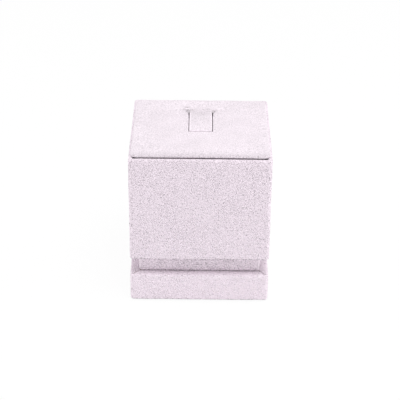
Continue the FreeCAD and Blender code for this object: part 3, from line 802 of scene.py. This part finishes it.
# small folds at the ends of the slits: side, distance out from the slit and back from the root, turn in
# degrees, half length, half width and height; the lengths are in millimetres
# the folds' heights also paint shade into their creases and highlight onto their ridges
PUCKERS = (
    (-1, 0.9, 4.3, 3, 1.0, 0.45, -0.4),
    (-1, 0.9, 3.2, 3, 1.5, 0.45, 0.15),
    (-1, 0.6, 2.2, 4, 1.7, 0.5, -0.3),
    (-1, 0.4, 0.9, 0, 0.8, 1.0, -0.3),
    (1, 0.3, 0.7, 0, 0.6, 0.8, -0.28),
    (1, 1.0, 1.9, 38, 1.2, 0.6, -0.3),
    (1, 2.0, 2.6, 12, 1.6, 0.7, 0.2),
    (1, -2.2, 3.0, -8, 2.2, 0.8, -0.1),
)


def bell(distance, half_width):
    """A smooth hump: one in the middle, falling away to nothing."""
    return math.exp(-((distance / half_width) ** 2))


class InsertPlan:
    """The places that the pad and the flap are made to."""

    def __init__(self, look):
        self.low, self.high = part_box("insert_cover")
        flap_low, flap_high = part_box("flap_cover")
        self.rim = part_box("box_cover")[1].z
        self.shoulder = self.high.z - look.crown_height
        self.edge = self.high + Vector((look.lip_side, look.lip_front, 0))
        self.flap_side = flap_high.x
        self.flap_tip = flap_low.y
        self.root = FLAP_HINGE.y
        self.window_side = self.flap_side + look.slit_width
        self.window_tip = self.flap_tip - look.tip_gap
        self.flat_from = self.rim + look.lip_clear / 2

    def at_root(self, edge):
        return all(vert.co.y > self.root - NEAR for vert in edge.verts)

    def under_window(self, place):
        inside = abs(place.x) < self.high.x / 2 and abs(place.y) < self.root + WINDOW_MARGIN
        return inside and place.z < self.low.z + NEAR

    def before_root(self, place, side, tip):
        beside = abs(place.x) < side + NEAR
        return beside and tip - NEAR < place.y < self.root + NEAR and place.z > self.flat_from

    def on_flap(self, place):
        return self.before_root(place, self.flap_side, self.flap_tip)

    def in_window(self, place):
        return self.before_root(place, self.window_side, self.window_tip)


def insert_sheet(look, plan):
    """The blank of the insert's fabric: top and sides in one, with the slits beside the flap cut."""
    flatness = look.edge_height / look.edge_radius
    low = Vector((-plan.edge.x, -plan.edge.y, (plan.low.z - plan.shoulder) / flatness))
    high = Vector((plan.edge.x, plan.edge.y, 0))
    bm = rounded_block(low, high, look.corner_radius, look.edge_radius, (high.z,))
    bmesh.ops.scale(bm, vec=(1, 1, flatness), verts=bm.verts)
    bmesh.ops.translate(bm, vec=UP * plan.shoulder, verts=bm.verts)
    remove_faces(bm, lambda p: abs(p.z - plan.low.z) < NEAR)
    waist = plan.rim - look.waist_depth
    for level in (plan.rim - look.lip_depth, waist, plan.rim + look.lip_clear):
        cut(bm, bm.faces[:], UP * level, UP)
    within = [vert for vert in bm.verts if vert.co.z < plan.rim]
    bmesh.ops.scale(bm, vec=(plan.high.x / plan.edge.x, plan.high.y / plan.edge.y, 1), verts=within)
    tucked = [vert for vert in bm.verts if abs(vert.co.z - waist) < NEAR]
    bmesh.ops.scale(bm, vec=narrowed(plan.high, look.waist), verts=tucked)
    flat = inset(plan.high, look.edge_radius)
    slits = [-plan.window_side, -plan.flap_side, plan.flap_side, plan.window_side]
    divide(bm, X, [-flat.x, *slits, flat.x], look.pitch)
    divide(bm, Y, [-flat.y, plan.window_tip, plan.flap_tip, plan.root, flat.y], look.pitch)
    remove_faces(bm, lambda p: plan.in_window(p) and not plan.on_flap(p))
    return bm


def drawn_in(place, look, plan):
    """How strongly the pad is drawn in at a place round the flap's root, from nothing to one."""
    return bell(place.x, look.dimple_width) * bell(place.y - plan.root, look.dimple_length)


def pucker_height(place, plan):
    """The height of the small folds at the ends of the slits."""
    height = 0.0
    for side, beside, behind, turn, half_length, half_width, rise in PUCKERS:
        middle = Vector((side * (plan.window_side + beside * MM), plan.root + behind * MM))
        offset = Matrix.Rotation(-math.radians(turn), 2) @ (place.to_2d() - middle)
        height += rise * MM * bell(offset.x, half_length * MM) * bell(offset.y, half_width * MM)
    return height


def nap_pressed(place, look, plan):
    """The painted shade at a place: at the flap's root, along the pad's front edge and in the folds'
    creases; painted highlight along the flap's edges and on the folds' ridges.
    """
    pressed = look.root_press * drawn_in(place, look, plan)
    if plan.on_flap(place):
        from_edge = min(plan.flap_side - abs(place.x), place.y - plan.flap_tip)
        return pressed + look.edge_press * bell(from_edge, look.edge_reach)
    at_front = look.front_press * bell(place.y + plan.edge.y, look.front_reach)
    return pressed + at_front - pucker_height(place, plan) / look.crease


def form_insert(bm, look, plan):
    """Gives the blank its crown, the drawn-in place at the flap's root, and the slits' open ends."""
    for vert in bm.verts:
        place = vert.co.copy()
        if place.z < plan.flat_from:
            continue
        arch = (1 - (place.x / plan.edge.x) ** 2) * (1 - (place.y / plan.edge.y) ** 2)
        vert.co.z += look.crown_height * arch - look.dimple_depth * drawn_in(place, look, plan)
        if abs(place.x) > plan.window_side - NEAR:
            near_slit = bell(abs(place.x) - plan.window_side, look.flare_length / 2)
            near_root = bell(place.y - plan.root, look.flare_length)
            vert.co.x += math.copysign(look.slit_flare, place.x) * near_slit * near_root


def pucker(bm, plan):
    """Draws the fabric into small folds at the ends of the slits."""
    for vert in bm.verts:
        if vert.co.z > plan.flat_from and not plan.on_flap(vert.co):
            vert.co.z += pucker_height(vert.co, plan)


def swollen(bm, look, plan):
    """Lets the fabric swell over the foam by a cloth simulation, held where it is glued down."""
    scene = bpy.context.scene
    bm.verts.index_update()
    held = [
        vert.index for vert in bm.verts
        if vert.co.z < plan.flat_from or vert.is_boundary or plan.on_flap(vert.co)
        or drawn_in(vert.co, look, plan) > GLUED_SHARE
    ]
    mesh = bpy.data.meshes.new("swelling")
    bm.to_mesh(mesh)
    mesh.transform(Matrix.Scale(look.scale, 4))
    fabric = new_object("swelling", mesh)
    fabric.vertex_groups.new(name="glued").add(held, 1.0, "REPLACE")
    cloth = fabric.modifiers.new("swelling", "CLOTH")
    cloth.settings.vertex_group_mass = "glued"
    cloth.settings.quality = look.quality
    cloth.settings.use_pressure = True
    cloth.settings.uniform_pressure_force = look.pressure
    cloth.settings.effector_weights.gravity = 0.0
    cloth.point_cache.frame_end = look.steps
    for step in range(1, look.steps + 1):
        scene.frame_set(step)
    result = fabric.evaluated_get(bpy.context.evaluated_depsgraph_get())
    moves = [new.co / look.scale - old.co for new, old in zip(result.data.vertices, bm.verts)]
    scene.frame_set(1)
    bpy.data.objects.remove(fabric)
    bpy.data.meshes.remove(mesh)
    kept = min(1.0, look.swell / max(move.length for move in moves))
    for vert, move in zip(bm.verts, moves):
        vert.co += move * kept


def insert_fabric(look, plan):
    """The insert's finished fabric, from which the pad and the flap are taken."""
    made_before = bpy.data.meshes.get(INSERT_MESH)
    if made_before:
        bm = bmesh.new()
        bm.from_mesh(made_before)
        return bm
    bm = insert_sheet(look, plan)
    mark_pressed(bm, lambda place: nap_pressed(place, look, plan))
    form_insert(bm, look, plan)
    swollen(bm, look, plan)
    pucker(bm, plan)
    bm.to_mesh(bpy.data.meshes.new(INSERT_MESH))
    return bm


def line_window(bm, look, plan):
    """Leads the pad's fabric down the sides of the window, which is undercut at the flap's root."""
    border = open_edges(bm, lambda p: p.z > plan.flat_from)
    slits = [edge for edge in border if not plan.at_root(edge)]
    under_edge = drawn_out(bm, border)
    for vert in under_edge:
        vert.co.z -= look.undercut_depth
        if vert.co.y > plan.root - NEAR:
            vert.co.y += look.undercut
    for vert in drawn_out(bm, open_rim(under_edge)):
        vert.co.z = plan.low.z
    round_edges(bm, slits, look.window_radius, SLIT_SEGMENTS)


def turn_hems(bm, look, plan, outer_foot):
    """Turns the pad's fabric under: inwards at its outer foot, and outwards under the window."""
    window_foot = open_edges(bm, plan.under_window)
    bmesh.ops.scale(bm, vec=narrowed(plan.high, look.hem), verts=drawn_out(bm, outer_foot))
    window_half = Vector((plan.window_side, (plan.root - plan.window_tip) / 2))
    to_middle = Matrix.Translation((0, -(plan.window_tip + plan.root) / 2, 0))
    outwards = narrowed(window_half, -look.window_hem)
    bmesh.ops.scale(bm, vec=outwards, verts=drawn_out(bm, window_foot), space=to_middle)


def close_under(bm, thickness):
    """Closes the pad above its hems."""
    raised = drawn_out(bm, [edge for edge in bm.edges if edge.is_boundary])
    bmesh.ops.translate(bm, vec=UP * 2 * thickness, verts=raised)
    bmesh.ops.bridge_loops(bm, edges=[edge for edge in bm.edges if edge.is_boundary])


class RING_BOX_OT_insert_pad(bpy.types.Operator):
    """Makes the padded insert, with the window under the flap and its hems"""

    bl_idname = "ring_box.insert_pad"
    bl_label = "Insert pad"

    def execute(self, context):
        look = context.scene.ring_box_insert
        plan = InsertPlan(look)
        bm = insert_fabric(look, plan)
        remove_faces(bm, plan.on_flap)
        outer_foot = open_edges(bm, lambda p: p.z < plan.low.z + NEAR)
        line_window(bm, look, plan)
        turn_hems(bm, look, plan, outer_foot)
        close_under(bm, context.scene.ring_box_covers.thickness)
        pad = new_piece("insert_pad", bm, "microfibre", pad_suede())
        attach(pad, "insert")
        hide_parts("insert_cover", "insert_foam")
        return {"FINISHED"}


class RING_BOX_OT_ring_flap(bpy.types.Operator):
    """Makes the flap that holds a ring, thinner towards its root"""

    bl_idname = "ring_box.ring_flap"
    bl_label = "Ring flap"

    def execute(self, context):
        look = context.scene.ring_box_insert
        plan = InsertPlan(look)
        bm = insert_fabric(look, plan)
        remove_faces(bm, lambda p: not plan.on_flap(p))
        loose = [vert for vert in bm.verts if not vert.link_faces]
        bmesh.ops.delete(bm, geom=loose, context="VERTS")
        made = bmesh.ops.extrude_face_region(bm, geom=bm.faces[:], use_keep_orig=True)["geom"]
        for vert in made:
            if isinstance(vert, bmesh.types.BMVert):
                bent = min(1.0, (plan.root - vert.co.y) / look.bend_length)
                vert.co.z -= look.root_thickness + (look.flap_thickness - look.root_thickness) * bent
        bmesh.ops.recalc_face_normals(bm, faces=bm.faces)
        sharp = [
            edge for edge in bm.edges
            if edge.calc_face_angle(0.0) > SHARP_ANGLE and not plan.at_root(edge)
        ]
        round_edges(bm, sharp, look.window_radius, SLIT_SEGMENTS)
        flap = new_piece("ring_flap", bm, "microfibre", pad_suede())
        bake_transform(flap)
        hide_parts("flap_cover", "flap_board")
        bpy.data.meshes.remove(bpy.data.meshes[INSERT_MESH])
        return {"FINISHED"}


class RING_BOX_OT_inner_boards(bpy.types.Operator):
    """Gives the boards, posts and screws inside their finishes"""

    bl_idname = "ring_box.inner_boards"
    bl_label = "Inner boards"

    def execute(self, context):
        for part in frame["nodes"].values():
            slot = part.data.materials[0].name
            part.data.materials[0] = finish(slot)
        return {"FINISHED"}


# Stage

def seen_directly(tree):
    """One for rays from the camera, or by way of metal or glass, and zero for light."""
    path = node(tree, "ShaderNodeLightPath")
    seen = path.outputs["Is Camera Ray"]
    for name in ("Is Glossy Ray", "Is Transmission Ray"):
        either = node(tree, "ShaderNodeMath", {0: seen, 1: path.outputs[name]}, operation="MAXIMUM")
        seen = either.outputs[0]
    return seen


def white_floor(look):
    """A pale floor that keeps a soft shadow in front of a white background."""
    material = bpy.data.materials.new("white_floor")
    material.use_nodes = True
    tree = material.node_tree
    tree.nodes.clear()
    paint = node(tree, "ShaderNodeBsdfDiffuse", {"Color": (*look.floor, 1.0)}).outputs[0]
    plain = node(tree, "ShaderNodeEmission", {"Strength": 1.0}).outputs[0]
    amount = node(
        tree, "ShaderNodeMath", {0: seen_directly(tree), 1: look.white}, operation="MULTIPLY"
    ).outputs[0]
    mixed = node(tree, "ShaderNodeMixShader", {0: amount, 1: paint, 2: plain}).outputs[0]
    node(tree, "ShaderNodeOutputMaterial", {"Surface": mixed})
    return material


def surround_light(look):
    """An even light from all round, seen as plain white."""
    world = bpy.data.worlds.new("studio")
    world.use_nodes = True
    tree = world.node_tree
    tree.nodes.clear()
    light = node(tree, "ShaderNodeBackground", {"Color": WHITE, "Strength": look.surround}).outputs[0]
    white = node(tree, "ShaderNodeBackground", {"Color": WHITE, "Strength": 1.0}).outputs[0]
    mixed = node(tree, "ShaderNodeMixShader", {0: seen_directly(tree), 1: light, 2: white}).outputs[0]
    node(tree, "ShaderNodeOutputWorld", {"Surface": mixed})
    return world


def soft_lamp(name, place, aim, size, power):
    """A square soft lamp turned to a point."""
    lamp = bpy.data.lights.new(name, "AREA")
    lamp.size = size
    lamp.energy = power
    made = new_object(name, lamp)
    made.location = place
    made.rotation_euler = (aim - place).to_track_quat("-Z", "Y").to_euler()


def wide_floor(look):
    """A wide floor, just under the box."""
    bm = bmesh.new()
    bmesh.ops.create_grid(bm, x_segments=1, y_segments=1, size=look.floor_reach)
    bmesh.ops.translate(bm, vec=UP * -NEAR, verts=bm.verts)
    mesh = bpy.data.meshes.new("floor")
    bm.to_mesh(mesh)
    bm.free()
    mesh.materials.append(white_floor(look))
    return new_object("floor", mesh)


def aimed_camera(look, aim):
    """The camera that looks down at a point, tipped a little sideways."""
    camera = bpy.data.cameras.new("camera")
    camera.lens = look.lens
    camera.shift_y = -look.lift
    made = new_object("camera", camera)
    back = Vector((0, -math.cos(look.rise), math.sin(look.rise)))
    made.location = aim + back * look.distance
    turn = (-back).to_track_quat("-Z", "Y").to_matrix() @ Matrix.Rotation(look.roll, 3, "Z")
    made.rotation_euler = turn.to_euler()
    return made


class RING_BOX_OT_stage(bpy.types.Operator):
    """Makes the floor, the lamps, the white surround and the camera"""

    bl_idname = "ring_box.stage"
    bl_label = "Stage"

    def execute(self, context):
        scene = context.scene
        look = scene.ring_box_stage
        floor = wide_floor(look)
        aim = Vector((0, 0, look.aim))
        soft_lamp("overhead_lamp", look.overhead_place, aim, look.lamp_size, look.overhead)
        for name, side in (("left_lamp", -1), ("right_lamp", 1)):
            place = look.side_place * Vector((side, 1, 1))
            soft_lamp(name, place, aim, look.lamp_size, look.sides)
        scene.world = surround_light(look)
        scene.camera = aimed_camera(look, aim)
        scene.view_settings.view_transform = "Standard"
        return {"FINISHED"}


# Add-on

OPERATORS = (
    RING_BOX_OT_inner_boards,
    RING_BOX_OT_box_cover,
    RING_BOX_OT_plinth_cover,
    RING_BOX_OT_neck_cover,
    RING_BOX_OT_base_liner,
    RING_BOX_OT_insert_pad,
    RING_BOX_OT_ring_flap,
    RING_BOX_OT_stage,
)


class RING_BOX_PT_panel(bpy.types.Panel):
    """The pieces of the ring box and their settings"""

    bl_idname = "RING_BOX_PT_panel"
    bl_label = "Ring display box"
    bl_space_type = "VIEW_3D"
    bl_region_type = "UI"
    bl_category = "Ring box"

    def draw(self, context):
        for kind in OPERATORS:
            self.layout.operator(kind.bl_idname)
        for name, kind in SETTINGS.items():
            box = self.layout.box()
            for setting in kind.__annotations__:
                box.prop(getattr(context.scene, name), setting)


def register():
    for kind in (*SETTINGS.values(), *OPERATORS, RING_BOX_PT_panel):
        bpy.utils.register_class(kind)
    for name, kind in SETTINGS.items():
        setattr(bpy.types.Scene, name, PointerProperty(type=kind))


def unregister():
    for name in SETTINGS:
        delattr(bpy.types.Scene, name)
    for kind in reversed((*SETTINGS.values(), *OPERATORS, RING_BOX_PT_panel)):
        bpy.utils.unregister_class(kind)


def main():
    register()
    for kind in OPERATORS:
        group, name = kind.bl_idname.split(".")
        getattr(getattr(bpy.ops, group), name)()


if __name__ == "__main__":
    main()
